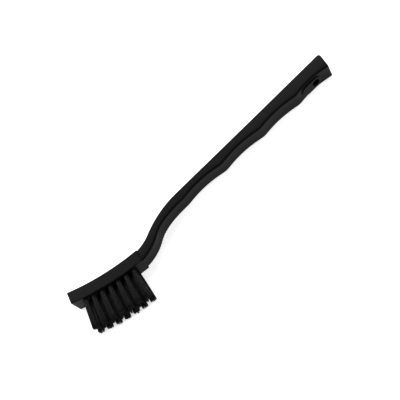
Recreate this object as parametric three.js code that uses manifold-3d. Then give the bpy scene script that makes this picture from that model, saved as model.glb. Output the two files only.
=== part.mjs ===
// Anti-static brush: a one-piece moulded handle whose arched head carries three rows of tufts.
// Millimetres. The brush lies on its side: X runs to the tail, Y to the back of the handle and
// Z up, so the bristles point to -Y. The middle of the brush's width is z = 0 until the end,
// where the whole brush is moved so that its bottom centre is the origin.
import * as THREE from "three";
import { mergeGeometries, mergeVertices } from "three/addons/utils/BufferGeometryUtils.js";
import Module from "manifold-3d";

// Grip, from the tail: finger scallops of one radius between rounded crests, on a straight back
const FINGER_LENGTHS = [24, 24.1, 25.9, 26.5];
const FINGER_RADIUS = 65;
const CREST_ROUNDING = 1.2;
const TAIL_THICKNESS = 9.1;
const LAST_CREST_THICKNESS = 5.6;
const TAIL_WIDTH = 10.6;
const TAIL_SLANT = 11; // degrees: the front edge of the tail is set back
const TAIL_EDGE_RADIUS = 0.6;
const EDGE_RADIUS = 0.9; // the long edges of the grip and the neck

// Hanging hole, in a flat pad with round ends that stands on the front of the grip
const HANG_HOLE_DIAMETER = 4;
const HANG_HOLE_FROM_TAIL = 11.2;
const PAD_LENGTH = 12.6; // its end towards the tail is round about the hole
const PAD_WIDTH = 7;
const PAD_RISE = 0.7; // over the scallop at the hole

// Neck: one bend towards the bristles and one back again, swelling into the head
const NECK_WIDTH = 9;
const NECK_THICKNESS = 4.7;
const NECK_SWELL_LENGTH = 16;
const SHOULDER_THICKNESS = 6.3;
const DROP_RADIUS = 54.6;
const DROP_ANGLE = 26.7; // degrees
const RETURN_RADIUS = 24.4;
const RETURN_ANGLE = 34; // degrees

// Head: an arched block, hollow along its back, that takes in the end of the neck
const HEAD_LENGTH = 41.6;
const HEAD_WIDTH = 10.7;
const HEAD_THICKNESS = 6.5;
const HEAD_BACK_RADIUS = 134;
const HEAD_OVER_NECK = 4.5;
const HEAD_PROUD_OF_NECK = 0.15;
const HEAD_EDGE_RADIUS = 0.3;

// Tufts: the middle row has one tuft fewer and stands in the gaps of the outer rows
const OUTER_ROW_TUFTS = 7;
const FRONT_MARGIN = 7; // from the front of the head to the first tuft of an outer row
const REAR_MARGIN = 6; // from the last tuft of an outer row to the rear of the head
const SIDE_WALL = 0.95; // between the outer bores and the sides of the head
const TUFT_BORE = 2.4;
const BORE_DEPTH = 4.2;
const TUFT_TILT = 2.35; // degrees towards the tail, from square to the middle of the head
const TUFT_FAN = 3.25; // degrees more or less at the two ends of the rows
const BRISTLE_LENGTH = 17.6;
const TIP_SPREAD = 3.9; // across one tuft at its tips
const RAGGED_TIPS = 1; // the shortest strand is this much shorter
const STRANDS_PER_TUFT = 20;
const STRAND_THICKNESS = 0.32;
const STRAND_SIDES = 3;
const BACKING_SLICE = 1; // the slice of the head's face that each row of strands stands on

// Anchors: flat metal plates, one across each bore, with the tuft folded under it
const ANCHOR_LENGTH = 3;
const ANCHOR_HEIGHT = 1.5;
const ANCHOR_THICKNESS = 0.3;
const FOLD_THICKNESS = 0.4;
const FIT_GAP = 0.2; // between pieces that seat in each other

// Fineness of the facets
const STEPS_PER_FINGER = 10;
const NECK_STEPS = 22;
const EDGE_STEPS = 4;
const ARCH_STEPS = 7;
const BORE_SIDES = 10;
const HANG_HOLE_SIDES = 32;
const CUT_OVERRUN = 1; // how far a cutter stands out of the face that it opens

const radians = THREE.MathUtils.degToRad;
const wasm = await Module();
wasm.setup();

// A closed geometry as a solid that can be cut and joined
function solidOf(geometry) {
  const bare = new THREE.BufferGeometry();
  bare.setAttribute("position", geometry.getAttribute("position"));
  bare.setIndex(geometry.index);
  const merged = mergeVertices(bare, 1e-4);
  const vertProperties = new Float32Array(merged.getAttribute("position").array);
  const triVerts = new Uint32Array(merged.index.array);
  return new wasm.Manifold(new wasm.Mesh({ numProp: 3, vertProperties, triVerts }));
}

// A solid back as a geometry that a mesh can show
function geometryOf(solid) {
  const { vertProperties, triVerts } = solid.getMesh();
  const geometry = new THREE.BufferGeometry();
  geometry.setAttribute("position", new THREE.BufferAttribute(vertProperties, 3));
  geometry.setIndex(new THREE.BufferAttribute(triVerts, 1));
  geometry.computeVertexNormals();
  return geometry;
}

// The back line in the XY plane: straight over the fingers, then the two bends of the neck
const straightLength = FINGER_LENGTHS.reduce((sum, length) => sum + length, 0);
const quarter = Math.PI / 2;
const drop = radians(DROP_ANGLE);
const dropCentre = new THREE.Vector2(-straightLength, -DROP_RADIUS);
const dropEnd = quarter + drop;
const returnCentre = new THREE.Vector2(Math.cos(dropEnd), Math.sin(dropEnd))
  .multiplyScalar(DROP_RADIUS + RETURN_RADIUS)
  .add(dropCentre);
const returnStart = dropEnd + Math.PI;

const backLine = new THREE.Path();
backLine.moveTo(0, 0);
backLine.lineTo(-straightLength, 0);
backLine.absarc(dropCentre.x, dropCentre.y, DROP_RADIUS, quarter, dropEnd);
backLine.absarc(
  returnCentre.x,
  returnCentre.y,
  RETURN_RADIUS,
  returnStart,
  returnStart - radians(RETURN_ANGLE),
  true,
);
const backLength = backLine.getLength();
const shoulder = backLength - HEAD_OVER_NECK;

// 0 at a crest and growing away from it, with a hyperbola to round the crest
function awayFromCrest(distance) {
  return Math.hypot(distance, CREST_ROUNDING) - CREST_ROUNDING;
}

// How far a finger scallop lies below the line through its two crests
function scallopDepth(fromTail) {
  let start = 0;
  let length = FINGER_LENGTHS[0];
  for (const next of FINGER_LENGTHS.slice(1)) {
    if (fromTail <= start + length) break;
    start += length;
    length = next;
  }
  const toCrest = Math.max(0, Math.min(fromTail - start, start + length - fromTail));
  const share = awayFromCrest(toCrest) / awayFromCrest(length / 2);
  const deepest = length ** 2 / (8 * FINGER_RADIUS);
  return deepest * (1 - (1 - share) ** 2);
}

// Thickness of the handle, square to its back line
function thicknessAt(along) {
  const taper = Math.min(along / straightLength, 1);
  const crests = THREE.MathUtils.lerp(TAIL_THICKNESS, LAST_CREST_THICKNESS, taper);
  if (along <= straightLength) return crests - scallopDepth(along);
  const swellStart = shoulder - NECK_SWELL_LENGTH;
  const slim = THREE.MathUtils.smoothstep(along, straightLength, swellStart);
  const swell = THREE.MathUtils.smoothstep(along, swellStart, shoulder);
  const neck = THREE.MathUtils.lerp(LAST_CREST_THICKNESS, NECK_THICKNESS, slim);
  return THREE.MathUtils.lerp(neck, SHOULDER_THICKNESS, swell);
}

// Width of the handle: the grip narrows to the neck, fastest at the tail
function widthAt(along) {
  const left = Math.max(0, 1 - along / straightLength);
  return THREE.MathUtils.lerp(NECK_WIDTH, TAIL_WIDTH, left ** 2);
}

// One cross-section: a rectangle with round corners, square to the back line, or slanted at the tail
function sectionAt(along, inset = 0) {
  const place = backLine.getPoint(along / backLength);
  const travel = backLine.getTangent(along / backLength);
  const inward = new THREE.Vector2(-travel.y, travel.x);
  const fade = Math.max(0, 1 - along / FINGER_LENGTHS[0]);
  const setBack = Math.tan(radians(TAIL_SLANT)) * fade;
  const thickness = thicknessAt(along);
  const radius = EDGE_RADIUS - inset;
  const halfThickness = thickness / 2 - EDGE_RADIUS;
  const halfWidth = widthAt(along) / 2 - EDGE_RADIUS;
  const ring = [];
  for (let corner = 0; corner < 4; corner++) {
    const depthSide = corner === 0 || corner === 3 ? 1 : -1;
    const widthSide = corner < 2 ? 1 : -1;
    for (let step = 0; step <= EDGE_STEPS; step++) {
      const angle = (corner + step / EDGE_STEPS) * quarter;
      const depth = thickness / 2 + depthSide * halfThickness + radius * Math.cos(angle);
      const across = widthSide * halfWidth + radius * Math.sin(angle);
      const point = place.clone().addScaledVector(inward, depth).addScaledVector(travel, depth * setBack);
      ring.push(new THREE.Vector3(point.x, point.y, across));
    }
  }
  return ring;
}

// A skin over a row of like rings, closed by a flat fan at each end
function loft(rings) {
  const count = rings[0].length;
  const last = (rings.length - 1) * count;
  const index = [];
  for (let ring = 0; ring < rings.length - 1; ring++) {
    for (let k = 0; k < count; k++) {
      const a = ring * count + k;
      const b = ring * count + ((k + 1) % count);
      index.push(a, b, b + count, a, b + count, a + count);
    }
  }
  for (let k = 1; k < count - 1; k++) {
    index.push(0, k + 1, k);
    index.push(last, last + k, last + k + 1);
  }
  return new THREE.BufferGeometry().setFromPoints(rings.flat()).setIndex(index);
}

// Sections of the handle from the tail to its end inside the head, closest together at the crests
function handleSections() {
  const rings = [];
  for (let step = 0; step < EDGE_STEPS; step++) {
    const angle = (1 - step / EDGE_STEPS) * quarter;
    const along = TAIL_EDGE_RADIUS * (1 - Math.sin(angle));
    rings.push(sectionAt(along, TAIL_EDGE_RADIUS * (1 - Math.cos(angle))));
  }
  let start = TAIL_EDGE_RADIUS;
  let end = 0;
  for (const length of FINGER_LENGTHS) {
    end += length;
    for (let step = 0; step < STEPS_PER_FINGER; step++) {
      const share = (1 - Math.cos((step / STEPS_PER_FINGER) * Math.PI)) / 2;
      rings.push(sectionAt(THREE.MathUtils.lerp(start, end, share)));
    }
    start = end;
  }
  for (let step = 0; step <= NECK_STEPS; step++) {
    const along = THREE.MathUtils.lerp(straightLength, backLength, step / NECK_STEPS);
    rings.push(sectionAt(along));
  }
  return rings;
}

// The head's own frame: x along its chord to the tail, y to its back, origin mid-back
const neckEndTurn = radians(DROP_ANGLE - RETURN_ANGLE);
const headTurn = neckEndTurn - (HEAD_LENGTH / 2 - HEAD_OVER_NECK) / HEAD_BACK_RADIUS;
const neckEnd = backLine.getPoint(1);
const headPlace = neckEnd
  .clone()
  .addScaledVector(new THREE.Vector2(-Math.sin(neckEndTurn), Math.cos(neckEndTurn)), HEAD_BACK_RADIUS)
  .addScaledVector(
    new THREE.Vector2(-Math.sin(headTurn), Math.cos(headTurn)),
    HEAD_PROUD_OF_NECK - HEAD_BACK_RADIUS,
  );
const headFrame = new THREE.Matrix4().makeRotationZ(headTurn);
headFrame.setPosition(headPlace.x, headPlace.y, 0);

// A slab between two depths below the head's back, arched with it, with square ends at front and rear
function archedSlab(top, bottom, front, rear, width, edge = 0) {
  const upper = HEAD_BACK_RADIUS + top;
  const lower = HEAD_BACK_RADIUS + bottom;
  const angleAt = (along, radius) => Math.asin(along / radius) - quarter;
  const outline = new THREE.Shape();
  outline.absarc(0, HEAD_BACK_RADIUS, upper, angleAt(front, upper), angleAt(rear, upper));
  outline.absarc(0, HEAD_BACK_RADIUS, lower, angleAt(rear, lower), angleAt(front, lower), true);
  const depth = width - 2 * edge;
  const slab = new THREE.ExtrudeGeometry(outline, {
    depth,
    curveSegments: ARCH_STEPS,
    bevelEnabled: edge > 0,
    bevelThickness: edge,
    bevelSize: edge,
    bevelOffset: -edge,
    bevelSegments: 2,
  });
  return slab.translate(0, 0, -depth / 2);
}

// Rows and their tufts, in the head's frame
const faceRadius = HEAD_BACK_RADIUS + HEAD_THICKNESS;
const headHalf = HEAD_LENGTH / 2;
const rowMiddle = (FRONT_MARGIN - REAR_MARGIN) / 2;
const rowHalf = headHalf - (FRONT_MARGIN + REAR_MARGIN) / 2;
const tuftPitch = (2 * rowHalf) / (OUTER_ROW_TUFTS - 1);
const rowPitch = HEAD_WIDTH / 2 - SIDE_WALL - TUFT_BORE / 2;
const sliceFront = rowMiddle - rowHalf - tuftPitch / 2;
const sliceRear = rowMiddle + rowHalf + tuftPitch / 2;
const rows = [
  { name: "lower", across: -rowPitch, tufts: OUTER_ROW_TUFTS },
  { name: "middle", across: 0, tufts: OUTER_ROW_TUFTS - 1 },
  { name: "upper", across: rowPitch, tufts: OUTER_ROW_TUFTS },
];

// A tuft's frame: origin on the head's face, y along the bore into the head
function tuftFrames(row) {
  return Array.from({ length: row.tufts }, (_, k) => {
    const fromMiddle = (k - (row.tufts - 1) / 2) * tuftPitch;
    const along = rowMiddle + fromMiddle;
    const turn = radians(TUFT_TILT + (TUFT_FAN * fromMiddle) / rowHalf);
    const x = faceRadius * Math.sin(along / faceRadius);
    const y = HEAD_BACK_RADIUS - faceRadius * Math.cos(along / faceRadius);
    return new THREE.Matrix4().makeRotationZ(turn).setPosition(x, y, row.across);
  });
}

// Depths below the face, along a bore
const anchorFoot = BORE_DEPTH - FIT_GAP - FOLD_THICKNESS - FIT_GAP;
const anchorMiddle = anchorFoot - ANCHOR_HEIGHT / 2;

// A plate or slot the size of an anchor, grown by a gap all round, with its foot where the anchor's is
function anchorPlate(gap = 0) {
  const plate = new THREE.BoxGeometry(
    ANCHOR_LENGTH + 2 * gap,
    ANCHOR_HEIGHT + 2 * gap,
    ANCHOR_THICKNESS + 2 * gap,
  );
  return plate.translate(0, anchorMiddle, 0);
}

// A blind bore with the two notches that the anchor is pressed down
function boreCutter() {
  const bore = new THREE.CylinderGeometry(
    TUFT_BORE / 2,
    TUFT_BORE / 2,
    BORE_DEPTH + CUT_OVERRUN,
    BORE_SIDES,
  );
  bore.translate(0, (BORE_DEPTH - CUT_OVERRUN) / 2, 0);
  const notchDepth = anchorFoot + FIT_GAP - BACKING_SLICE;
  const notch = new THREE.BoxGeometry(
    ANCHOR_LENGTH + 2 * FIT_GAP,
    notchDepth,
    ANCHOR_THICKNESS + 2 * FIT_GAP,
  );
  notch.translate(0, BACKING_SLICE + notchDepth / 2, 0);
  return solidOf(bore).add(solidOf(notch));
}

// One strand from its foot in the backing to its tip: a prism with flat ends
function strand(foot, tip) {
  const corners = Array.from({ length: STRAND_SIDES }, (_, k) => {
    const angle = (k / STRAND_SIDES) * 2 * Math.PI;
    return new THREE.Vector2(Math.cos(angle), Math.sin(angle)).multiplyScalar(STRAND_THICKNESS / 2);
  });
  const run = tip.clone().sub(foot);
  const geometry = new THREE.ExtrudeGeometry(new THREE.Shape(corners), {
    depth: run.length(),
    bevelEnabled: false,
  });
  const lean = new THREE.Quaternion().setFromUnitVectors(new THREE.Vector3(0, 0, 1), run.normalize());
  return geometry.applyQuaternion(lean).translate(foot.x, foot.y, foot.z);
}

// The strands of one tuft, set like the seeds of a sunflower and spreading evenly, so none cross
function tuftStrands(tuft) {
  const goldenAngle = Math.PI * (3 - Math.sqrt(5));
  const goldenShare = (Math.sqrt(5) - 1) / 2;
  const spread = (TIP_SPREAD - STRAND_THICKNESS) / (TUFT_BORE - STRAND_THICKNESS);
  const strands = Array.from({ length: STRANDS_PER_TUFT }, (_, k) => {
    const reach = ((TUFT_BORE - STRAND_THICKNESS) / 2) * Math.sqrt((k + 0.5) / STRANDS_PER_TUFT);
    const x = reach * Math.cos(k * goldenAngle);
    const z = reach * Math.sin(k * goldenAngle);
    const shorter = RAGGED_TIPS * (((k + 1) * (tuft + 1) * goldenShare) % 1);
    const foot = new THREE.Vector3(x, BACKING_SLICE / 2, z);
    const tip = new THREE.Vector3(x * spread, shorter - BRISTLE_LENGTH, z * spread);
    return strand(foot, tip);
  });
  return mergeGeometries(strands);
}

// The folded root of one tuft: it fills the bore and passes round the anchor
function tuftRoot() {
  const top = BACKING_SLICE / 2;
  const length = BORE_DEPTH - FIT_GAP - top;
  const radius = TUFT_BORE / 2 - FIT_GAP;
  const root = new THREE.CylinderGeometry(radius, radius, length, BORE_SIDES);
  root.translate(0, top + length / 2, 0);
  return solidOf(root).subtract(solidOf(anchorPlate(FIT_GAP)));
}

// The whole moulding: grip, neck and head, with its holes and the beds of the rows
function handleGeometry() {
  const head = archedSlab(0, HEAD_THICKNESS, -headHalf, headHalf, HEAD_WIDTH, HEAD_EDGE_RADIUS);
  let handle = solidOf(loft(handleSections())).add(solidOf(head.applyMatrix4(headFrame)));

  const padRoot = thicknessAt(HANG_HOLE_FROM_TAIL) / 2;
  const padTop = thicknessAt(HANG_HOLE_FROM_TAIL) + PAD_RISE;
  const outline = new THREE.Shape();
  outline.absarc(0, 0, PAD_WIDTH / 2, -quarter, quarter);
  outline.absarc(PAD_WIDTH - PAD_LENGTH, 0, PAD_WIDTH / 2, quarter, 3 * quarter);
  const pad = new THREE.ExtrudeGeometry(outline, {
    depth: padTop - padRoot,
    curveSegments: HANG_HOLE_SIDES / 2,
    bevelEnabled: false,
  });
  pad.rotateX(quarter).translate(-HANG_HOLE_FROM_TAIL, -padRoot, 0);
  const hole = new THREE.CylinderGeometry(
    HANG_HOLE_DIAMETER / 2,
    HANG_HOLE_DIAMETER / 2,
    2 * (TAIL_THICKNESS + CUT_OVERRUN),
    HANG_HOLE_SIDES,
  );
  hole.translate(-HANG_HOLE_FROM_TAIL, 0, 0);
  handle = handle.add(solidOf(pad)).subtract(solidOf(hole));

  for (const row of rows) {
    const bed = archedSlab(
      HEAD_THICKNESS - BACKING_SLICE - FIT_GAP,
      HEAD_THICKNESS + CUT_OVERRUN,
      sliceFront - FIT_GAP,
      sliceRear + FIT_GAP,
      TUFT_BORE + 2 * FIT_GAP,
    );
    bed.translate(0, 0, row.across).applyMatrix4(headFrame);
    handle = handle.subtract(solidOf(bed));
    for (const frame of tuftFrames(row)) {
      const place = headFrame.clone().multiply(frame);
      handle = handle.subtract(boreCutter().transform(place.elements));
    }
  }
  return geometryOf(handle);
}

// One row of bristles: a slice of the head's face with the strands of its tufts and their roots
function bristleRowGeometry(row) {
  const slice = archedSlab(HEAD_THICKNESS - BACKING_SLICE, HEAD_THICKNESS, sliceFront, sliceRear, TUFT_BORE);
  let bristles = solidOf(slice.translate(0, 0, row.across));
  tuftFrames(row).forEach((frame, tuft) => {
    const strands = solidOf(tuftStrands(tuft).applyMatrix4(frame));
    bristles = bristles.add(tuftRoot().transform(frame.elements)).add(strands);
  });
  return geometryOf(bristles);
}

const blackPlastic = new THREE.MeshStandardMaterial({ color: 0x1c1c1d, roughness: 0.5, metalness: 0 });
const blackBristle = new THREE.MeshStandardMaterial({ color: 0x121213, roughness: 0.6, metalness: 0 });
const anchorMetal = new THREE.MeshStandardMaterial({ color: 0xb9a06a, roughness: 0.35, metalness: 1 });

function namedMesh(name, geometry, material) {
  const mesh = new THREE.Mesh(geometry, material);
  mesh.name = name;
  return mesh;
}

const handle = namedMesh("handle", handleGeometry(), blackPlastic);
const head = new THREE.Group();
head.position.set(headPlace.x, headPlace.y, 0);
head.rotation.z = headTurn;
for (const row of rows) {
  head.add(namedMesh(`bristles_${row.name}_row`, bristleRowGeometry(row), blackBristle));
  tuftFrames(row).forEach((frame, tuft) => {
    const anchor = namedMesh(`anchor_${row.name}_${tuft + 1}`, anchorPlate(), anchorMetal);
    anchor.applyMatrix4(frame);
    head.add(anchor);
  });
}

const brush = new THREE.Group();
brush.add(handle, head);
const box = new THREE.Box3().setFromObject(brush, true);
const centre = box.getCenter(new THREE.Vector3());
brush.position.set(-centre.x, -centre.y, -box.min.z);

const part = new THREE.Group();
part.add(brush);
export default part;
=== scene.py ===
# %% [markdown]
# # An anti-static brush, made from surfaces
# The brush is one black moulding with three rows of stiff tufts, and it lies on its side.
# The CAD model gives every piece its place, so this lesson starts by loading it as a fixed frame.
# Then each visible piece is worked out again as a fine surface, in the same place.
# The brush is measured in millimetres, and only the last step before a mesh turns them into metres.
# The floor and the lights are given in metres from the start.

import bmesh
import bpy
import numpy as np
from mathutils import Matrix, Vector


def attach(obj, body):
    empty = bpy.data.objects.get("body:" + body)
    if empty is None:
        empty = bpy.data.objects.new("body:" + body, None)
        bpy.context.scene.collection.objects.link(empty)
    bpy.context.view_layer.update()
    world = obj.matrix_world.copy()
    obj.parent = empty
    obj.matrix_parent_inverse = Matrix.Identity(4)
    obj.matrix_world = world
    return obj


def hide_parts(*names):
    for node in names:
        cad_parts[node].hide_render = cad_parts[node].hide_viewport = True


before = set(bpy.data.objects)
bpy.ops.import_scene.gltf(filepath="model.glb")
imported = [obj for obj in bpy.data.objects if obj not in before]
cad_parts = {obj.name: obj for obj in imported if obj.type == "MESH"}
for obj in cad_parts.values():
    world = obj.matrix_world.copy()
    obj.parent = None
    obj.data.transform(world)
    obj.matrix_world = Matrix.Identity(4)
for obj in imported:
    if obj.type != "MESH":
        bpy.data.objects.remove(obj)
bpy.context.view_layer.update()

MM = 0.001
BODY = "root"
print("CAD nodes:", len(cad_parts))

# %% [markdown]
# ## Camera
# The photograph looks down on the brush from its bristle side, with the camera rolled over so that
# the brush runs from corner to corner. A camera could be moved by hand until the picture fits, but
# numbers can be fitted more closely. So it is put on a line of sight through one aimed point, by its
# azimuth, elevation and distance, and then rolled. The image is 400 pixels square, and the lens
# follows from its focal length in pixels.

# %% Camera
IMAGE_SIZE = 400
AIM = Vector((-5.99, 4.57, 5.46)) * MM
CAMERA_DISTANCE = 464.3 * MM
CAMERA_AZIMUTH = np.radians(1.31)
CAMERA_ELEVATION = np.radians(59.98)
CAMERA_ROLL = np.radians(-42.96)
FOCAL_PIXELS = 927.0
SENSOR = 36.0
NEAR_CLIP = 0.01


def direction(azimuth, elevation):
    """A unit vector: the azimuth turns it from +Y towards +X, and the elevation lifts it."""
    level = np.cos(elevation)
    return Vector((level * np.sin(azimuth), level * np.cos(azimuth), np.sin(elevation)))


def add_camera():
    """A camera on the sphere round the aimed point, turned about its own line of sight by the roll."""
    ahead = direction(CAMERA_AZIMUTH, -CAMERA_ELEVATION)
    level = ahead.cross(Vector((0, 0, 1))).normalized()
    right = Matrix.Rotation(CAMERA_ROLL, 3, -ahead) @ level
    up = right.cross(ahead)
    data = bpy.data.cameras.new("camera")
    data.sensor_width = SENSOR
    data.lens = SENSOR * FOCAL_PIXELS / IMAGE_SIZE
    data.clip_start = NEAR_CLIP
    camera = bpy.data.objects.new("camera", data)
    turn = Matrix((right, up, -ahead)).transposed()
    camera.matrix_world = Matrix.Translation(AIM - ahead * CAMERA_DISTANCE) @ turn.to_4x4()
    bpy.context.scene.collection.objects.link(camera)
    bpy.context.scene.camera = camera
    return camera


camera = add_camera()
print("camera at", [round(v / MM, 1) for v in camera.location], "mm, lens", round(camera.data.lens, 1))

# %% [markdown]
# ## From arrays to a mesh
# Every new piece here is a set of points and faces held in whole arrays. Blender's modelling tools
# could make it face by face, but arrays are quicker, and each point stays known by its number. One
# helper drops the points that no face uses, sends the rest into a mesh in one go and asks Blender
# to turn all faces outwards.

# %% Mesh helpers
def piece_from_arrays(name, points, faces, material):
    """One object from points in millimetres and a list of face arrays, each (count, corners)."""
    used = np.unique(np.concatenate([part.ravel() for part in faces]))
    renumber = np.empty(len(points), int)
    renumber[used] = np.arange(len(used))
    corners = np.concatenate([renumber[part].ravel() for part in faces])
    sizes = np.concatenate([np.full(len(part), part.shape[1]) for part in faces])
    mesh = bpy.data.meshes.new(name)
    mesh.vertices.add(len(used))
    mesh.vertices.foreach_set("co", (points[used] * MM).ravel())
    mesh.loops.add(len(corners))
    mesh.loops.foreach_set("vertex_index", corners)
    mesh.polygons.add(len(sizes))
    mesh.polygons.foreach_set("loop_start", np.cumsum(sizes) - sizes)
    mesh.update(calc_edges=True)
    mesh.validate()
    form = bmesh.new()
    form.from_mesh(mesh)
    bmesh.ops.recalc_face_normals(form, faces=form.faces)
    open_edges = sum(not edge.is_manifold for edge in form.edges)
    form.to_mesh(mesh)
    form.free()
    mesh.polygons.foreach_set("use_smooth", np.ones(len(sizes), bool))
    mesh.materials.append(material)
    piece = bpy.data.objects.new(name, mesh)
    bpy.context.scene.collection.objects.link(piece)
    print(name, len(used), "points", len(sizes), "faces", open_edges, "open edges")
    return piece, used


def bands(rings):
    """Quads between neighbouring rings of point numbers, closed round each ring."""
    ahead = np.roll(rings, -1, axis=-1)
    corners = [rings[..., :-1, :], ahead[..., :-1, :], ahead[..., 1:, :], rings[..., 1:, :]]
    return np.stack(corners, axis=-1).reshape(-1, 4)


# %% [markdown]
# ## Sizes of the moulding
# A grip with four finger scallops, a neck with one bend towards the bristles and one back again,
# and an arched head. These are the CAD model's driving sizes, given again here because its faceted
# mesh can't tell them exactly. The place of the moulding is read from the frame: the tail of the
# handle, its straight back and the middle of its width.

# %% Sizes and place
FINGERS = np.array([24.0, 24.1, 25.9, 26.5])
FINGER_RADIUS = 65.0
CREST_ROUNDING = 1.2
TAIL_THICKNESS = 9.1
LAST_CREST_THICKNESS = 5.6
TAIL_WIDTH = 10.6
TAIL_SLANT = np.tan(np.radians(11.0))
TAIL_EDGE_RADIUS = 0.6
TAIL_BACK_CORNER = 1.7
EDGE_RADIUS = 0.9

NECK_WIDTH = 9.0
NECK_THICKNESS = 4.7
NECK_SWELL_LENGTH = 16.0
SHOULDER_THICKNESS = 6.3
DROP_RADIUS = 54.6
DROP = np.radians(26.7)
RETURN_RADIUS = 24.4
RETURN = np.radians(34.0)

HEAD_LENGTH = 41.6
HEAD_WIDTH = 10.7
HEAD_THICKNESS = 6.5
HEAD_BACK_RADIUS = 134.0
HEAD_OVER_NECK = 4.5
HEAD_PROUD_OF_NECK = 0.15
HEAD_EDGE_RADIUS = 0.3

crests = np.concatenate([[0.0], np.cumsum(FINGERS)])
grip_length = crests[-1]
back_length = grip_length + DROP_RADIUS * DROP + RETURN_RADIUS * RETURN
shoulder = back_length - HEAD_OVER_NECK
head_half = HEAD_LENGTH / 2
face_radius = HEAD_BACK_RADIUS + HEAD_THICKNESS


def node_points(name):
    """All corners of a CAD node, in millimetres."""
    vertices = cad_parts[name].data.vertices
    flat = np.empty(3 * len(vertices), np.float32)
    vertices.foreach_get("co", flat)
    return flat.reshape(-1, 3).astype(float) / MM


cad_handle = node_points("handle")
tail = cad_handle[:, 0].max() + TAIL_EDGE_RADIUS * TAIL_SLANT
back = cad_handle[cad_handle[:, 0] > tail - FINGERS[0], 1].max()
middle = (cad_handle[:, 2].min() + cad_handle[:, 2].max()) / 2
place = np.array([tail, back, middle])
print("tail, back and middle at", place.round(3), "mm; back line", round(back_length, 2), "mm long")

# %% [markdown]
# ## The line and the thickness of the handle
# A handle like this could be sculpted or bent from a box. The CAD model draws it as a back line with
# a thickness below it, and the same formulas keep the new surface on the old one. The line is a
# straight run and two arcs, so its point and heading are exact. The scallops are parabolas between
# crests, and a hyperbola in place of the distance to the crest rounds each crest a little.

# %% Back line, thickness and width
def back_line(along):
    """Point and heading of the back at a distance from the tail: each arc adds radius times the
    change of sine and cosine of the heading."""
    drop = np.clip((along - grip_length) / DROP_RADIUS, 0, DROP)
    back_again = np.maximum((along - grip_length - DROP_RADIUS * DROP) / RETURN_RADIUS, 0)
    heading = drop - back_again
    x = -np.minimum(along, grip_length) - DROP_RADIUS * np.sin(drop)
    x -= RETURN_RADIUS * (np.sin(drop) - np.sin(heading))
    y = DROP_RADIUS * (np.cos(drop) - 1) - RETURN_RADIUS * (np.cos(heading) - np.cos(drop))
    return x, y, heading


def away_from_crest(distance):
    """A hyperbola: flat at the crest, and growing like the distance further off."""
    return np.hypot(distance, CREST_ROUNDING) - CREST_ROUNDING


def scallop_depth(along):
    """A parabola between two crests, as deep as an arc of the finger radius."""
    finger = np.clip(np.searchsorted(crests[1:], along), 0, len(FINGERS) - 1)
    start, length = crests[finger], FINGERS[finger]
    to_crest = np.maximum(np.minimum(along - start, start + length - along), 0)
    share = away_from_crest(to_crest) / away_from_crest(length / 2)
    return length**2 / (8 * FINGER_RADIUS) * (1 - (1 - share) ** 2)


def smooth_ramp(value, start, end):
    """0 before start, 1 after end, and an S-curve between them."""
    share = np.clip((value - start) / (end - start), 0, 1)
    return share**2 * (3 - 2 * share)


def mix(a, b, share):
    """From a to b in proportion to the share."""
    return a + (b - a) * share


def thickness_at(along):
    """Crest line minus scallop on the grip, then slim to the neck and swell to the shoulder."""
    line = mix(TAIL_THICKNESS, LAST_CREST_THICKNESS, np.minimum(along / grip_length, 1))
    swell_start = shoulder - NECK_SWELL_LENGTH
    slim = mix(LAST_CREST_THICKNESS, NECK_THICKNESS, smooth_ramp(along, grip_length, swell_start))
    neck = mix(slim, SHOULDER_THICKNESS, smooth_ramp(along, swell_start, shoulder))
    return np.where(along <= grip_length, line - scallop_depth(along), neck)


def width_at(along):
    """The grip narrows to the neck as a parabola that is steepest at the tail."""
    return mix(NECK_WIDTH, TAIL_WIDTH, np.maximum(1 - along / grip_length, 0) ** 2)


print("thickness at the crests:", thickness_at(crests).round(2), "mm")

# %% [markdown]
# ## One cross-section for the whole moulding
# Grip, neck and head all have a rectangle with round corners as their section. A curve with a bevel
# could carry it along, but a grid whose columns are known can be opened for holes. So one template
# of columns serves every ring: each column knows which corner it belongs to and how far round it is.
# The columns on the two faces lie on the lines between the rows of tufts, which helps later.
# A moulded bar this thick is never quite flat. The draft of the mould leaves its sides crowned, so
# that a side's two edges look away from each other by a few degrees. The front and the back sink in
# by a tenth of a millimetre as the plastic cools, so that their edges look towards each other. These
# are small things, but they give each face its own fade of light.

# %% Section template
ROWS = 3
TUFT_BORE = 2.4
SIDE_WALL = 0.95
EDGE_CUTS = 8
SIDE_CUTS = 10
CELL_ACROSS = 8
CROWN_TILT = np.radians(3.0)
SINK_TILT = np.radians(3.0)
QUARTER = np.pi / 2

row_pitch = HEAD_WIDTH / 2 - SIDE_WALL - TUFT_BORE / 2
face_flat = HEAD_WIDTH / 2 - HEAD_EDGE_RADIUS
face_lines = np.linspace(-1, 1, ROWS * CELL_ACROSS + 1) * (ROWS / 2) * row_pitch / face_flat
side_lines = np.linspace(1, -1, SIDE_CUTS + 1)[1:-1]
corner_turn = np.linspace(-SINK_TILT, QUARTER - CROWN_TILT, EDGE_CUTS + 1)


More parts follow.
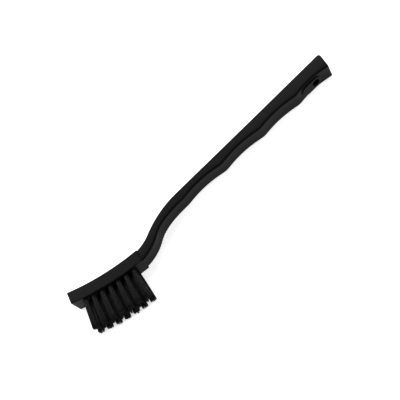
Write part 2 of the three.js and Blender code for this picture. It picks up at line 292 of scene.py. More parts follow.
def section_template():
    """For each column: the side in depth and in width of its corner's centre, and its angle.
    Between two corners the centre slides from one to the next and the angle turns by the tilts,
    onwards over a crowned side and back over a sunk front or back."""
    ones = np.ones_like
    corners = [(1, 1), (-1, 1), (-1, -1), (1, -1)]
    flats = [
        (side_lines, ones(side_lines), -CROWN_TILT * side_lines),
        (-ones(face_lines), -face_lines, -SINK_TILT * face_lines),
        (-side_lines, -ones(side_lines), -CROWN_TILT * side_lines),
        (ones(face_lines), face_lines, -SINK_TILT * face_lines),
    ]
    columns = []
    for quarter, (corner, flat) in enumerate(zip(corners, flats)):
        starts_at_side = quarter % 2
        angle = quarter * QUARTER + corner_turn + (CROWN_TILT + SINK_TILT) * starts_at_side
        columns.append(np.stack([ones(angle) * corner[0], ones(angle) * corner[1], angle]))
        columns.append(np.stack([flat[0], flat[1], (quarter + 1) * QUARTER + flat[2]]))
    return np.concatenate(columns, axis=1)


in_depth, in_width, corner_angle = section_template()
column_count = len(corner_angle)
face_count = len(face_lines)
front_columns = column_count - face_count + np.arange(face_count)
back_columns = 2 * (EDGE_CUTS + 1) + len(side_lines) + np.arange(face_count)[::-1]
print("section of", column_count, "columns")

# %% Section at a place
def per_ring(values):
    """Values as one column, with a ring to each row."""
    return np.reshape(values, (-1, 1))


def bow(half, tilt):
    """Height of a bowed side: a parabola over a half width, whose ends slope by the tilt."""
    return half * np.tan(tilt) / 2


def section(thickness, width, radius, inset, bowed=True):
    """Depth below the back and place across: the corner's centre, plus the radius turned through
    the column's angle. A bowed section has its front and back sunk in, and its corners drawn in
    from the crowned sides. An inset draws the whole outline in. Rings go down, columns across."""
    thickness, width, inset = (per_ring(v) for v in (thickness, width, inset))
    reach = radius - inset
    half_depth, half_width = thickness / 2 - radius, width / 2 - radius
    sink = bowed * bow(half_width, SINK_TILT) * (1 - in_width**2)
    draw = bowed * bow(half_depth, CROWN_TILT) * in_depth**2
    depth = thickness / 2 + in_depth * (half_depth - sink) + reach * np.cos(corner_angle)
    across = in_width * (half_width - draw) + reach * np.sin(corner_angle)
    return depth, across


tail_sink = bow(TAIL_WIDTH / 2 - EDGE_RADIUS, SINK_TILT)
print("front and back sunk by up to", round(tail_sink, 3), "mm")

# %% [markdown]
# ## Rings of the grip and the neck
# A curve modifier could bend a straight bar into this shape, but rings can lean and crowd where they
# are needed. A ring is the section set square to the back line. At the tail it leans back, and at
# the shoulder it leans the other way until it lies in the rear plane of the head. Both leans fade
# out, so the skin never folds. Rings crowd together at the crests, where the surface turns fastest.

# %% Rings from tail to shoulder
TAIL_CUTS = 7
FINGER_CUTS = 34
NECK_CUTS = 90
LEAN_LENGTH = 9.0
SHOULDER_FILLET = 0.5

neck_end_turn = DROP - RETURN
head_turn = neck_end_turn - (head_half - HEAD_OVER_NECK) / HEAD_BACK_RADIUS
shoulder_lean = np.tan(back_line(shoulder)[2] - head_turn)


def tail_lean(along):
    """Slope of the slanted tail, which fades out over the first finger."""
    return TAIL_SLANT * np.maximum(1 - along / FINGERS[0], 0)


def handle_rings(along, inset):
    """Back line, plus depth square to it, plus the lean, which slides a point by its depth. At the
    tail the back's corner is a quarter circle, so the section is cut off there from the back."""
    x, y, heading = (per_ring(v) for v in back_line(along))
    short = np.maximum(TAIL_BACK_CORNER - along, 0)
    cut = TAIL_BACK_CORNER - np.sqrt(TAIL_BACK_CORNER**2 - short**2)
    depth, across = section(thickness_at(along) - cut, width_at(along), EDGE_RADIUS, inset)
    depth = depth + per_ring(cut)
    lean = tail_lean(along) + shoulder_lean * smooth_ramp(along, shoulder - LEAN_LENGTH, shoulder)
    slide = depth * per_ring(lean)
    x = x - slide * np.cos(heading) + depth * np.sin(heading)
    y = y - slide * np.sin(heading) - depth * np.cos(heading)
    return np.stack([x, y, across], axis=-1)


def grip_stations():
    """Distances from the tail: cosine spacing between crests, so that rings crowd at both ends."""
    share = (1 - np.cos(np.linspace(0, np.pi, FINGER_CUTS + 1)[:-1])) / 2
    starts = np.maximum(crests[:-1], TAIL_EDGE_RADIUS)
    return mix(starts[:, None], crests[1:, None], share).ravel()


tail_turn = np.linspace(QUARTER, 0, TAIL_CUTS)[:-1]
tail_stations = TAIL_EDGE_RADIUS * (1 - np.sin(tail_turn))
neck_stations = np.linspace(grip_length, shoulder - 2 * SHOULDER_FILLET, NECK_CUTS)
stations = np.concatenate([tail_stations, grip_stations(), neck_stations])
insets = np.zeros_like(stations)
insets[:len(tail_turn)] = TAIL_EDGE_RADIUS * (1 - np.cos(tail_turn))
grip_and_neck = handle_rings(stations, insets)
print("grip and neck:", len(stations), "rings")

# %% [markdown]
# ## Rings of the head
# The head's back and its bristle face are arcs with one centre, and its ends are cut square to the
# chord. A separate block pushed into the neck would leave a hard seam, so the skin runs on: where
# neck and head meet, each column goes from the neck's outline to the head's outline in the rear
# plane. A small fillet at the foot of that step and another at its edge are limited by the step's
# own height, because the back is almost flush and the sides are not.

# %% Place of the head and layout of its face
OUTER_ROW_TUFTS = 7
FRONT_MARGIN = 7.0
REAR_MARGIN = 6.0
ACROSS = np.array([0.0, 0.0, 1.0])

row_middle = (FRONT_MARGIN - REAR_MARGIN) / 2
row_half = head_half - (FRONT_MARGIN + REAR_MARGIN) / 2
tuft_pitch = 2 * row_half / (OUTER_ROW_TUFTS - 1)
face_rear = row_middle + row_half + tuft_pitch / 2
face_front = row_middle - row_half - tuft_pitch / 2

neck_end_x, neck_end_y, _ = back_line(back_length)
proud_radius = HEAD_BACK_RADIUS - HEAD_PROUD_OF_NECK
head_place = np.array([
    neck_end_x - HEAD_BACK_RADIUS * np.sin(neck_end_turn) + proud_radius * np.sin(head_turn),
    neck_end_y + HEAD_BACK_RADIUS * np.cos(neck_end_turn) - proud_radius * np.cos(head_turn),
    0.0,
])
chord = np.array([np.cos(head_turn), np.sin(head_turn), 0.0])
square = np.array([-np.sin(head_turn), np.cos(head_turn), 0.0])


def from_head(points):
    """Points in the head's own frame, turned into place. Its axes run along the chord to the tail,
    square to the chord out of the back, and across."""
    return head_place + points[..., :1] * chord + points[..., 1:2] * square + points[..., 2:] * ACROSS


print("tufts", round(tuft_pitch, 2), "mm apart in rows", round(row_pitch, 2), "mm apart")

# %% Rings from shoulder to front
STEP_CUTS = 6
STEP_SHARE = 0.45
HEAD_EDGE = 0.4
CELL_ALONG = 12
REAR_CUTS = 4
FRONT_CUTS = 6


def head_rings(x, inset):
    """Sections at places along the chord, between the back's arc and the face's arc. An inset moves
    each face in, and a corner's column moves with a face by twice the cosine of its angle to that
    face, at most fully."""
    x, inset = per_ring(x), per_ring(inset)
    top = HEAD_BACK_RADIUS - np.sqrt(HEAD_BACK_RADIUS**2 - x**2)
    bottom = HEAD_BACK_RADIUS - np.sqrt(face_radius**2 - x**2)
    depth, across = section(top - bottom, HEAD_WIDTH, HEAD_EDGE_RADIUS, 0, bowed=False)
    depth = depth - inset * np.clip(in_depth * 2 * abs(np.cos(corner_angle)), -1, 1)
    across = across - inset * np.clip(in_width * 2 * abs(np.sin(corner_angle)), -1, 1)
    return from_head(np.stack([x + 0 * depth, top - depth, across], axis=-1))


def shoulder_rings():
    """A rounded step: from the neck's direction to the rear plane, then to the head's direction.
    Each quarter turn goes from one direction to the next by one minus sine and one minus cosine."""
    neck = handle_rings(np.array([shoulder]), 0)[0]
    heading = back_line(shoulder)[2]
    travel = np.array([-np.cos(heading), -np.sin(heading), 0.0])
    rear = head_place + head_half * chord
    neck = neck + per_ring((rear - neck) @ chord / (travel @ chord)) * travel
    edge = head_rings(head_half, 0)[0]
    step = np.linalg.norm(edge - neck, axis=1, keepdims=True)
    out = (edge - neck) / step
    turn = np.linspace(0, QUARTER, STEP_CUTS)[:, None, None]
    foot = np.minimum(SHOULDER_FILLET, STEP_SHARE * step)
    rim = np.minimum(HEAD_EDGE, STEP_SHARE * step)
    hollow = neck - travel * foot * (1 - np.sin(turn)) + out * foot * (1 - np.cos(turn))
    rounded = edge - out * rim * (1 - np.sin(turn)) - chord * rim * (1 - np.cos(turn))
    return np.concatenate([hollow, rounded])


face_arc = np.linspace(face_rear, face_front, OUTER_ROW_TUFTS * CELL_ALONG + 1)
cell_x = face_radius * np.sin(face_arc / face_radius)
rear_x = np.linspace(head_half - 2 * HEAD_EDGE, cell_x[0], REAR_CUTS + 1)[:-1]
front_x = np.linspace(cell_x[-1], HEAD_EDGE - head_half, FRONT_CUTS + 1)[1:]
front_turn = np.linspace(0, QUARTER, STEP_CUTS)[1:]
rounded_x = HEAD_EDGE * (1 - np.sin(front_turn)) - head_half
head_x = np.concatenate([rear_x, cell_x, front_x, rounded_x])
head_inset = np.zeros_like(head_x)
head_inset[-len(front_turn):] = HEAD_EDGE * (1 - np.cos(front_turn))
step_rings = shoulder_rings()
rings = np.concatenate([grip_and_neck, step_rings, head_rings(head_x, head_inset)])
first_cell_ring = len(grip_and_neck) + len(step_rings) + len(rear_x)
print("whole moulding:", len(rings), "rings")

# %% [markdown]
# ## Skin with openings
# The rings make one grid of quads, closed by a flat cap at the tail and at the front of the head.
# A boolean cut could open it, but it leaves slivers that catch the light. Here a whole block of cells
# is left out and a new patch fills it: the patch starts on the block's own rim, and its rings then
# become round on their way to the hole.

# %% Grid and blocks
ring_count = len(rings)
grid_numbers = np.arange(ring_count * column_count).reshape(ring_count, column_count)
grid_points = rings.reshape(-1, 3)
shown = np.ones((ring_count - 1, column_count), bool)
points_made = [grid_points]
faces_made = []


def block_rim(first, last, columns):
    """Point numbers round a block of the grid, from its first ring to its last, as one closed loop."""
    numbers = grid_numbers[first:last + 1][:, columns]
    return np.concatenate([numbers[0, :-1], numbers[:-1, -1], numbers[-1, :0:-1], numbers[:0:-1, 0]])


def leave_out(first, last, columns):
    """Hides the quads of a block, whose columns are given in either order."""
    shown[first:last, min(columns):max(columns)] = False


def add_rings(start, patch, end=None):
    """Hangs a patch of rings on a rim of the grid, and on a second rim where there is one.
    Returns the numbers of its last ring."""
    first = sum(len(part) for part in points_made)
    numbers = first + np.arange(patch.shape[0] * patch.shape[1]).reshape(patch.shape[:2])
    points_made.append(patch.reshape(-1, 3))
    chain = [start[None], numbers] + ([] if end is None else [end[None]])
    faces_made.append(bands(np.concatenate(chain)))
    return numbers[-1]


print("grid of", ring_count, "rings by", column_count, "columns")

# %% [markdown]
# ## Hanging hole
# The tail has a hole of four millimetres on a low pad with round ends. The pad's top is flat while
# the finger scallop under it is hollow, so a hook or a cord lies flat round the hole. One end of
# the pad is round about the hole itself. Seen from the hole's axis, each ring of the patch is then
# a circle or a stadium, and a ray from the axis at each rim point's angle gives the ring its points.
# Places here are flat ones, along and across, measured from that axis.

# %% Outline and ground of the pad
HANG_HOLE_RADIUS = 2.0
HANG_HOLE_FROM_TAIL = 11.2
PAD_LENGTH = 12.6
PAD_WIDTH = 7.0
PAD_RISE = 0.7
FRONT_SAMPLES = 400
TINY = 1e-9

hole_axis = np.array([-HANG_HOLE_FROM_TAIL, 0.0])
pad_straight = PAD_LENGTH - PAD_WIDTH
pad_top = float(thickness_at(np.array(HANG_HOLE_FROM_TAIL))) + PAD_RISE


def pad_reach(angle, radius):
    """Distance from the hole's axis to the pad's outline along a ray: the radius on the tail side,
    and on the head side the distance to the flat side or to the far round end."""
    run, rise = -np.cos(angle), abs(np.sin(angle))
    flat_side = radius / np.maximum(rise, TINY)
    round_end = run * pad_straight + np.sqrt(np.maximum(radius**2 - (pad_straight * rise) ** 2, 0))
    head_side = np.where(flat_side * run <= pad_straight, flat_side, round_end)
    return np.where(run <= 0, radius, head_side)


def grip_sink(at):
    """How far the front or the back has sunk in at a place: a parabola across the width."""
    half = width_at(HANG_HOLE_FROM_TAIL - at[:, 0]) / 2 - EDGE_RADIUS
    return bow(half, SINK_TILT) * (1 - (at[:, 1] / half) ** 2)


def front_depth(at):
    """Depth of the front of the grip at a place. The lean slides its points along, so it is read
    from a fine table of slid points."""
    along = np.linspace(0, FINGERS[0] + FINGERS[1], FRONT_SAMPLES)
    depth = thickness_at(along)
    slid = along + depth * tail_lean(along)
    return np.interp(HANG_HOLE_FROM_TAIL - at[:, 0], slid, depth) - grip_sink(at)


print("pad top at", round(pad_top, 2), "mm below the back")

# %% Hanging hole and pad
PAD_FOOT = 0.15
PAD_EDGE = 0.2
HOLE_EDGE = 0.3
PATCH_START = 4.0
PATCH_END = 22.2
FILLET_CUTS = 5
GROUND_CUTS = 3
TOP_CUTS = 4
WALL_CUTS = 5
BACK_CUTS = 5

fillet_turn = np.linspace(0, QUARTER, FILLET_CUTS)
fillet = np.stack([np.sin(fillet_turn), np.cos(fillet_turn)], axis=-1)


def rays(angle):
    """Flat unit directions at some angles."""
    return np.stack([np.cos(angle), np.sin(angle)], axis=-1)


def shares_between(cuts):
    """Even shares of a way in so many cuts, without its two ends."""
    return np.linspace(0, 1, cuts + 1)[1:-1]


def hole_patch(front_rim, back_rim):
    """Rings from the front of the grip up on the pad, down the hole and out over the back. A fillet
    goes one minus sine in one direction while it goes one minus cosine in the other."""
    rim = grid_points[front_rim][:, [0, 2]] - hole_axis
    far = grid_points[back_rim][:, [0, 2]] - hole_axis
    angle = np.arctan2(rim[:, 1], rim[:, 0])
    ray = rays(angle)
    wall = PAD_WIDTH / 2
    places, depths = [], []

    def add_ring(at, depth):
        places.append(at)
        depths.append(np.broadcast_to(depth, len(angle)))

    def outline(radius):
        return ray * per_ring(pad_reach(angle, radius))

    for share in shares_between(GROUND_CUTS):
        at = mix(rim, outline(wall + PAD_FOOT), share)
        add_ring(at, front_depth(at))
    for sine, cosine in fillet:
        at = outline(wall + PAD_FOOT * (1 - sine))
        add_ring(at, front_depth(at) + PAD_FOOT * (1 - cosine))
    for sine, cosine in fillet:
        add_ring(outline(wall - PAD_EDGE * (1 - cosine)), pad_top - PAD_EDGE * (1 - sine))
    edge = places[-1]
    mouth = ray * (HANG_HOLE_RADIUS + HOLE_EDGE)
    for share in shares_between(TOP_CUTS):
        add_ring(mix(edge, mouth, share), pad_top)
    for sine, cosine in fillet:
        at = ray * (HANG_HOLE_RADIUS + HOLE_EDGE * (1 - sine))
        add_ring(at, pad_top - HOLE_EDGE * (1 - cosine))
    for share in shares_between(WALL_CUTS):
        add_ring(ray * HANG_HOLE_RADIUS, mix(pad_top - HOLE_EDGE, HOLE_EDGE, share))
    for sine, cosine in fillet:
        at = ray * (HANG_HOLE_RADIUS + HOLE_EDGE * (1 - cosine))
        add_ring(at, HOLE_EDGE * (1 - sine) + grip_sink(at))
    for share in shares_between(BACK_CUTS):
        at = mix(mouth, far, share)
        add_ring(at, grip_sink(at))
    flat = np.array(places) + hole_axis
    return np.stack([flat[..., 0], -np.array(depths), flat[..., 1]], axis=-1)


hole_first, hole_last = np.searchsorted(stations, [PATCH_START, PATCH_END])
front_rim = block_rim(hole_first, hole_last, front_columns)
back_rim = block_rim(hole_first, hole_last, back_columns)
leave_out(hole_first, hole_last, front_columns)
leave_out(hole_first, hole_last, back_columns)
add_rings(front_rim, hole_patch(front_rim, back_rim), back_rim)
print("hole patch of", len(front_rim), "points a ring")

# %% [markdown]
# ## Bores for the tufts
# Each tuft stands in a blind bore. The rows are staggered: the middle row has one tuft fewer and
# stands in the gaps of the outer rows. Twenty cutters could drill them, but the face's grid was laid
# out so that each tuft owns a block of cells, and neighbouring rows share their rim points although
# they are half a pitch apart. So a patch of rings makes each bore too, like the hanging hole.

# %% Bores in the face
BORE_DEPTH = 4.2
BORE_EDGE = 0.12
BORE_STATIONS = (0.35, 1.0)
MOUTH_CUTS = 4
TUFT_TILT = np.radians(2.35)
TUFT_FAN = np.radians(3.25)

tuft_rows = {
    "lower": (0, OUTER_ROW_TUFTS),
    "middle": (1, OUTER_ROW_TUFTS - 1),
    "upper": (2, OUTER_ROW_TUFTS),
}


def tuft_places(row):
    """Place along the face's arc, place across and turn of each tuft of a row, from front to rear."""
    strip, count = tuft_rows[row]
    from_middle = (np.arange(count) - (count - 1) / 2) * tuft_pitch
    turn = TUFT_TILT + TUFT_FAN * from_middle / row_half
    return row_middle + from_middle, (strip - 1) * row_pitch, turn


def on_face(arc, across):
    """A point of the bristle face, in the head's frame, from its place along the arc and across."""
    angle = arc / face_radius
    x = face_radius * np.sin(angle)
    y = HEAD_BACK_RADIUS - face_radius * np.cos(angle)
    return np.stack([x, y, across + 0 * arc], axis=-1)


def bore_patch(rim, centre, turn):
    """Rings that shrink from the block's rim to a circle, round over its edge and go down the bore.
    Rim and centre are places along the face's arc and across."""
    from_centre = rim - centre
    ray = rays(np.arctan2(from_centre[:, 1], from_centre[:, 0]))
    radius = TUFT_BORE / 2
    mouth = centre + (radius + BORE_EDGE) * ray
    inwards = np.array([-np.sin(turn), np.cos(turn), 0.0])
    made = [on_face(*mix(rim, mouth, share).T) for share in shares_between(MOUTH_CUTS)]
    for sine, cosine in fillet:
        circle = centre + (radius + BORE_EDGE * (1 - sine)) * ray
        made.append(on_face(*circle.T) + inwards * BORE_EDGE * (1 - cosine))
    made += [made[-1] + inwards * (BORE_DEPTH - BORE_EDGE) * share for share in BORE_STATIONS]
    return from_head(np.array(made))


bore_caps = []
for row, (strip, _) in tuft_rows.items():
    columns = front_columns[strip * CELL_ACROSS:(strip + 1) * CELL_ACROSS + 1]
    arcs, across, turns = tuft_places(row)
    for arc, turn in zip(arcs, turns):
        cell = int(round((face_rear - arc) / tuft_pitch * CELL_ALONG)) - CELL_ALONG // 2
        first, last = first_cell_ring + cell, first_cell_ring + cell + CELL_ALONG
        rim = block_rim(first, last, columns)
        rim_arc = face_arc[rim // column_count - first_cell_ring]
        rim_places = np.stack([rim_arc, grid_points[rim][:, 2]], axis=-1)
        leave_out(first, last, columns)
        bore_caps.append(add_rings(rim, bore_patch(rim_places, np.array([arc, across]), turn)))
print("bores:", len(bore_caps))

# %% [markdown]
# ## Satin black plastic
# Conductive plastic is filled with carbon, so it is a deep black with a satin skin from a lightly
# spark-eroded mould. Seen close it has a fine even grain, and the skin is a little smoother in
# some places than in others. A picture of such a skin would have to be wrapped round every bend.
# Noise in the object's own space needs no wrapping, so noises at these scales drive the tone, the
# roughness and the bump.

# %% Material helpers
NOISE_LOW = 0.3
NOISE_HIGH = 0.7


def new_material(name):
    """A material with only a shader and an output in it, and that shader."""
    material = bpy.data.materials.new(name)
    material.use_nodes = True
    return material, material.node_tree.nodes["Principled BSDF"]


def add_node(material, kind, **inputs):
    """A node of a kind, with its inputs set by name; underscores stand for the spaces in a name."""
    node = material.node_tree.nodes.new(kind)
    for name, value in inputs.items():
        node.inputs[name.replace("_", " ")].default_value = value
    return node


def noise_on_object(material, scale, detail):
    """Noise in the object's own coordinates, with so many grains to the metre."""
    place_node = add_node(material, "ShaderNodeTexCoord")
    noise = add_node(material, "ShaderNodeTexNoise", Scale=scale, Detail=detail)
    material.node_tree.links.new(place_node.outputs["Object"], noise.inputs["Vector"])
    return noise.outputs["Fac"]


def spread_to(material, value, low, high):
    """The middle part of a 0 to 1 value, in which noise mostly lies, spread between two limits."""
    node = add_node(material, "ShaderNodeMapRange", To_Min=low, To_Max=high)
    node.inputs["From Min"].default_value = NOISE_LOW
    node.inputs["From Max"].default_value = NOISE_HIGH
    material.node_tree.links.new(value, node.inputs["Value"])
    return node.outputs["Result"]


def colour_grey(material, shader, tone):
    """A base colour with one tone in all three channels."""
    colour = add_node(material, "ShaderNodeCombineColor")
    for channel in ("Red", "Green", "Blue"):
        material.node_tree.links.new(tone, colour.inputs[channel])
    material.node_tree.links.new(colour.outputs["Color"], shader.inputs["Base Color"])


def bump_with_grain(material, shader, scale, strength, height):
    """A fine grain: noise as a bump of some height in metres."""
    bump = add_node(material, "ShaderNodeBump", Strength=strength, Distance=height)
    grain = noise_on_object(material, scale, detail=2.0)
    material.node_tree.links.new(grain, bump.inputs["Height"])
    material.node_tree.links.new(bump.outputs["Normal"], shader.inputs["Normal"])


# %% Plastic material
def satin_black_plastic():
    """Deep black, a soft gloss that wanders a little, and a fine moulded grain."""
    material, shader = new_material("satin_black_plastic")
    shader.inputs["Specular IOR Level"].default_value = 0.24
    mottle = noise_on_object(material, scale=350.0, detail=4.0)
    colour_grey(material, shader, spread_to(material, mottle, low=0.008, high=0.012))
    wander = noise_on_object(material, scale=120.0, detail=3.0)
    gloss = spread_to(material, wander, low=0.285, high=0.335)
    material.node_tree.links.new(gloss, shader.inputs["Roughness"])
    bump_with_grain(material, shader, scale=5500.0, strength=0.25, height=0.00004)
    return material


plastic = satin_black_plastic()
print("material:", plastic.name)

# %% [markdown]
# ## The moulding as one mesh
# Grip, neck and head could be three meshes that overlap, but the real one is a single shot of
# plastic. The grid without the blocks, the two caps, the hole's patch and the bores share their rim
# points, so together they are one closed skin. The piece stands for the CAD handle.

# %% Handle piece
skin = bands(grid_numbers).reshape(ring_count - 1, column_count, 4)[shown]
caps = np.array([grid_numbers[0], grid_numbers[-1]])
handle_faces = [skin, caps, np.array(bore_caps)] + faces_made
handle_points = np.concatenate(points_made) + place
handle, _ = piece_from_arrays("handle_moulding", handle_points, handle_faces, plastic)
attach(handle, BODY)
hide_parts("handle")

# %% [markdown]
# ## Tufts
# A tuft is a bundle of nylon filaments, folded in two under an anchor. It leaves the bore tightly
# packed and opens a little towards its tips, which are cut ragged. Stiff filaments that have been
# used cling together, so a tuft ends in a few thick points with gaps between them, and the tufts
# have taken a slight set towards the front of the head. Blender's hair could grow them, but it is no
# mesh, and the brush has to be one. So each filament is a tube of few faces round a curve: its place
# in the bundle, drawn to the nearest of some seats and spread out with the distance from the face,
# plus a bend of its own. A row is one array.

# %% Bundle of a tuft
FILAMENTS = 120
FILAMENT_RADIUS = 0.1
CLUMPS = 7
CLUMP_SEAT = 0.66
GOLDEN_ANGLE = np.pi * (3 - np.sqrt(5))

bundle_radius = TUFT_BORE / 2 - FILAMENT_RADIUS


def sunflower(places, radius):
    """Even places in a circle: the reach grows with the square root of the count, and each place is
    turned on by the golden angle."""
    order = np.arange(places) + 0.5
    return per_ring(radius * np.sqrt(order / places)) * rays(order * GOLDEN_ANGLE)


def clump_seats(radius):
    """One seat in the middle of the bundle and the rest on a ring round it."""
    angle = np.arange(CLUMPS - 1) / (CLUMPS - 1) * 2 * np.pi
    return np.concatenate([np.zeros((1, 2)), radius * CLUMP_SEAT * rays(angle)])


def turned(flat, angle):
    """Flat places turned about the middle, by one angle for each tuft: (tuft, place, 2)."""
    sine, cosine = np.sin(angle)[:, None], np.cos(angle)[:, None]
    x, y = flat[:, 0], flat[:, 1]
    return np.stack([x * cosine - y * sine, x * sine + y * cosine], axis=-1)


print("a tuft has", FILAMENTS, "filaments in", CLUMPS, "clumps")

# %% Curves of the filaments
FILAMENT_CUTS = 7
ROOT_DEPTH = 1.5
BRISTLE_LENGTH = 17.6
TIP_SPREAD = 4.1
RAGGED_TIPS = 0.9
RAGGED_POWER = 1.5
TIP_DOME = 0.1
TIP_BEND = 0.12
STRAY_SHARE = 0.04
STRAY_BEND = 3.0
TUFT_LEAN = np.radians(0.3)
TUFT_SET = np.radians(-1.4)
CLUMP_PULL = 0.35
CLUMP_POWER = 1.5
CLUMP_RAGGED = 0.5


def filament_curves(row, random):
    """Curves of a row as (filament, station, 3), in the head's frame: the tuft's foot, plus the
    distance below the face along the tuft, plus the filament's own place across it. The tips make a
    low dome, and no filament reaches past the planes of the head's sides, on which the brush lies."""
    arcs, across, turns = tuft_places(row)
    count = len(arcs)
    start = turned(sunflower(FILAMENTS, bundle_radius), random.uniform(0, 2 * np.pi, count))
    seats = turned(clump_seats(bundle_radius), random.uniform(0, 2 * np.pi, count))
    own = np.argmin(np.linalg.norm(start[:, :, None] - seats[:, None], axis=-1), axis=-1)
    seat = np.take_along_axis(seats, own[..., None], axis=1)
    clump_short = CLUMP_RAGGED * random.random((count, CLUMPS))
    short = RAGGED_TIPS * random.random((count, FILAMENTS)) ** RAGGED_POWER
    short += TIP_DOME * (np.linalg.norm(start, axis=-1) / bundle_radius) ** 2
    length = BRISTLE_LENGTH - short - np.take_along_axis(clump_short, own, axis=1)
    below = np.linspace(0, 1, FILAMENT_CUTS + 1) * (length[..., None] + ROOT_DEPTH) - ROOT_DEPTH
    out = np.clip(below / BRISTLE_LENGTH, 0, None)[..., None]
    spread = 1 + (TIP_SPREAD / TUFT_BORE - 1) * out
    stray = 1 + (STRAY_BEND - 1) * (random.random((count, FILAMENTS, 1, 1)) < STRAY_SHARE)
    bend = random.normal(0, TIP_BEND, (count, FILAMENTS, 1, 2)) * stray
    lean = random.normal([TUFT_SET, 0.0], TUFT_LEAN, (count, 1, 1, 2))
    flat = mix(start[:, :, None], seat[:, :, None], CLUMP_PULL * out**CLUMP_POWER) * spread
    flat = flat + bend * out**2 + lean * below[..., None]
    foot = on_face(arcs, across)[:, None, None]
    down = np.stack([np.sin(turns), -np.cos(turns), 0 * turns], axis=-1)[:, None, None]
    sideways = np.stack([np.cos(turns), np.sin(turns), 0 * turns], axis=-1)[:, None, None]
    curves = foot + down * below[..., None] + sideways * flat[..., :1] + ACROSS * flat[..., 1:]
    side = HEAD_WIDTH / 2 - FILAMENT_RADIUS
    curves[..., 2] = np.clip(curves[..., 2], -side, side)
    return curves.reshape(-1, FILAMENT_CUTS + 1, 3)


print("filaments", BRISTLE_LENGTH, "mm long, cut short by up to", RAGGED_TIPS + CLUMP_RAGGED, "mm")

# %% Tubes round the curves
FILAMENT_SIDES = 5
TIP_TAPER = 0.75
TIP_POINT = 0.6


def tubes(curves, radius):
    """A tube round each curve: two directions square to its run, and a circle of few sides.
    The last ring is a little narrower, and a single tip point closes it."""
    run = np.gradient(curves, axis=1)
    run /= np.linalg.norm(run, axis=-1, keepdims=True)
    first = np.cross(run, ACROSS)
    first /= np.linalg.norm(first, axis=-1, keepdims=True)
    second = np.cross(run, first)
    angle = per_ring(np.arange(FILAMENT_SIDES) / FILAMENT_SIDES * 2 * np.pi)
    circle = np.cos(angle) * first[:, :, None] + np.sin(angle) * second[:, :, None]
    taper = np.ones(curves.shape[1])
    taper[-1] = TIP_TAPER
    walls = curves[:, :, None] + radius * taper[:, None, None] * circle
    tips = curves[:, -1] + run[:, -1] * radius * TIP_POINT
    numbers = np.arange(walls[..., 0].size).reshape(walls.shape[:3])
    last_ring = numbers[:, -1]
    tip_numbers = numbers.size + np.arange(len(curves))[:, None] + 0 * last_ring
    cones = np.stack([last_ring, np.roll(last_ring, -1, axis=1), tip_numbers], axis=-1).reshape(-1, 3)
    roots = numbers[:, 0, ::-1]
    return np.concatenate([walls.reshape(-1, 3), tips]), [bands(numbers), cones, roots]


print("a filament has", FILAMENT_SIDES, "sides and", FILAMENT_CUTS, "cuts")

# %% [markdown]
# ## Black nylon
# The filaments are drawn nylon with carbon in it: black, with a soft streak of light along each.
# They don't all shine alike. A noise would change along a filament instead of from one to the next.
# So a tone that is stored on every filament shifts its colour, and a second stored value, the
# distance from root to tip, makes the worn tips a little duller.

# %% Filament material
def black_nylon():
    """Black with a tone for each filament, and rougher towards the tips."""
    material, shader = new_material("black_nylon")
    shader.inputs["Specular IOR Level"].default_value = 0.5
    tone = add_node(material, "ShaderNodeAttribute")
    tone.attribute_name = "filament_tone"
    colour_grey(material, shader, spread_to(material, tone.outputs["Fac"], low=0.020, high=0.044))
    tip = add_node(material, "ShaderNodeAttribute")
    tip.attribute_name = "root_to_tip"
    wear = spread_to(material, tip.outputs["Fac"], low=0.36, high=0.44)
    material.node_tree.links.new(wear, shader.inputs["Roughness"])
    bump_with_grain(material, shader, scale=3000.0, strength=0.2, height=0.00002)
    return material


nylon = black_nylon()
print("material:", nylon.name)

# %% Bristle pieces
SEED = 7
random = np.random.default_rng(SEED)


def store_value(piece, name, values):
    """One number on each point of a piece, for its material to read."""
    attribute = piece.data.attributes.new(name, "FLOAT", "POINT")
    attribute.data.foreach_set("value", values.astype(np.float32))


def bristle_piece(row):
    """The filaments of one row as one piece, with their tones and their root-to-tip values."""
    curves = filament_curves(row, random)
    points, faces = tubes(curves, FILAMENT_RADIUS)
    piece, used = piece_from_arrays(f"bristles_{row}", from_head(points) + place, faces, nylon)
    count, cuts = curves.shape[:2]
    tone = random.random(count)
    wall_tone = np.repeat(tone, cuts * FILAMENT_SIDES)
    store_value(piece, "filament_tone", np.concatenate([wall_tone, tone])[used])
    wall_reach = np.tile(np.repeat(np.linspace(0, 1, cuts), FILAMENT_SIDES), count)
    store_value(piece, "root_to_tip", np.concatenate([wall_reach, np.ones(count)])[used])
    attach(piece, BODY)
    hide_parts(f"bristles_{row}_row")


for row in tuft_rows:
    bristle_piece(row)

# %% [markdown]
# ## Anchors
# The anchors are flat strips of brass, sheared from rolled sheet, and they sit deep in the bores.
# Their CAD solids have the right shape, so they stay and only get a metal with fine rolling lines.

# %% Anchor material
LINES_ALONG = 300.0
LINES_ACROSS = 6000.0
DARK_BRASS = (0.50, 0.36, 0.15, 1)
PALE_BRASS = (0.72, 0.56, 0.28, 1)


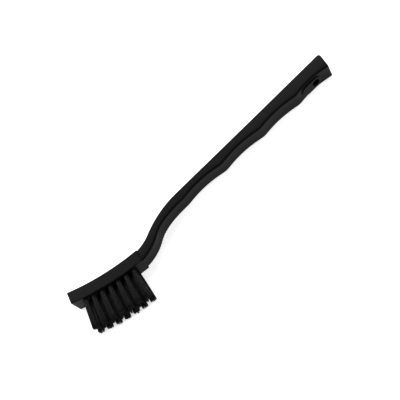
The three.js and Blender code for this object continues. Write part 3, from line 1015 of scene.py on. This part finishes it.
def rolled_brass():
    """Brass with lines stretched along the strip, which vary its tone and its gloss."""
    material, shader = new_material("rolled_brass")
    links = material.node_tree.links
    shader.inputs["Metallic"].default_value = 1.0
    place_node = add_node(material, "ShaderNodeTexCoord")
    stretch = add_node(material, "ShaderNodeMapping", Scale=(LINES_ALONG, LINES_ACROSS, LINES_ACROSS))
    lines = add_node(material, "ShaderNodeTexNoise", Scale=1.0, Detail=2.0)
    links.new(place_node.outputs["Object"], stretch.inputs["Vector"])
    links.new(stretch.outputs["Vector"], lines.inputs["Vector"])
    ramp = add_node(material, "ShaderNodeValToRGB")
    ramp.color_ramp.elements[0].color = DARK_BRASS
    ramp.color_ramp.elements[1].color = PALE_BRASS
    links.new(lines.outputs["Fac"], ramp.inputs["Fac"])
    links.new(ramp.outputs["Color"], shader.inputs["Base Color"])
    gloss = spread_to(material, lines.outputs["Fac"], low=0.25, high=0.45)
    links.new(gloss, shader.inputs["Roughness"])
    return material


brass = rolled_brass()
anchors = [node for name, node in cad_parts.items() if name.startswith("anchor_")]
for anchor in anchors:
    anchor.data.materials.clear()
    anchor.data.materials.append(brass)
print("anchors with brass:", len(anchors))

# %% [markdown]
# ## Floor and light
# A black thing shows its shape by what it reflects. A picture of a studio could be wrapped round it,
# but panels can be placed for one face at a time. Two softboxes behind the brush give the upper
# sides their grey, which fades towards the front because the sides are crowned. The white floor
# gives the upright faces a pale sheen, and the edge between them mirrors the dim room, so it is a
# dark line. Two lamps at the ends of the brush and a floor like a light table keep shadows faint.
# Two long low cards, behind and in front, give the sides something to mirror from lower angles,
# and a third one softens the step between the neck and the head.

# %% Floor
FLOOR_SIZE = 4.0
FLOOR_WHITE = 0.86
FLOOR_UNEVEN = 0.01
FLOOR_GLOW = 0.7


def pale_floor():
    """A flat square of matt white at the level that the brush lies on, with a trace of unevenness.
    It glows a little, as the glass of a light table does."""
    material, shader = new_material("white_table")
    cloud = noise_on_object(material, scale=3.0, detail=2.0)
    tone = spread_to(material, cloud, FLOOR_WHITE - FLOOR_UNEVEN, FLOOR_WHITE + FLOOR_UNEVEN)
    colour_grey(material, shader, tone)
    shader.inputs["Roughness"].default_value = 0.9
    shader.inputs["Emission Color"].default_value = (1, 1, 1, 1)
    shader.inputs["Emission Strength"].default_value = FLOOR_GLOW
    shader.inputs["Specular IOR Level"].default_value = 0.0
    half = FLOOR_SIZE / 2
    corners = [(-half, -half, 0), (half, -half, 0), (half, half, 0), (-half, half, 0)]
    mesh = bpy.data.meshes.new("floor")
    mesh.from_pydata(corners, [], [(0, 1, 2, 3)])
    mesh.materials.append(material)
    floor = bpy.data.objects.new("floor", mesh)
    bpy.context.scene.collection.objects.link(floor)


pale_floor()
print("floor of", FLOOR_SIZE, "m")

# %% Lights and room
ROOM_LIGHT = 0.15
DISPLAY_GAMMA = 0.7
LAMP_DISTANCE = 1.3

# Azimuth and elevation in degrees, width and height in metres, and brightness of each panel.
PANELS = {
    "tail_softbox": (30.0, 50.0, 0.7, 0.7, 2.9),
    "head_softbox": (-26.0, 50.0, 0.6, 0.7, 2.9),
    "back_card": (0.0, 14.0, 2.4, 0.6, 1.6),
    "front_card": (180.0, 11.0, 2.4, 0.5, 1.2),
    "tail_card": (60.0, 10.0, 1.0, 0.6, 3.0),
    "tail_lamp": (110.0, 30.0, 0.6, 0.6, 4.0),
    "head_lamp": (-90.0, 35.0, 0.6, 0.6, 2.5),
}


def soft_light(name, azimuth, elevation, width, height, brightness):
    """A panel that looks at the brush from a direction, azimuth 0 being behind it and 90 at its tail.
    Its power is pi times its area times the brightness that its surface shows."""
    towards = direction(np.radians(azimuth), np.radians(elevation))
    data = bpy.data.lights.new(name, "AREA")
    data.shape = "RECTANGLE"
    data.size = width
    data.size_y = height
    data.energy = np.pi * width * height * brightness
    lamp = bpy.data.objects.new(name, data)
    lamp.location = AIM + towards * LAMP_DISTANCE
    lamp.rotation_euler = towards.to_track_quat("Z", "Y").to_euler()
    bpy.context.scene.collection.objects.link(lamp)


def room(brightness):
    """An even dim room all round."""
    world = bpy.data.worlds.new("room")
    world.use_nodes = True
    background = world.node_tree.nodes["Background"]
    background.inputs["Color"].default_value = (brightness, brightness, brightness, 1)
    bpy.context.scene.world = world


for name, panel in PANELS.items():
    soft_light(name, *panel)
room(ROOM_LIGHT)
bpy.context.scene.view_settings.view_transform = "Standard"
bpy.context.scene.view_settings.gamma = DISPLAY_GAMMA
print("lights:", [lamp.name for lamp in bpy.data.lights])
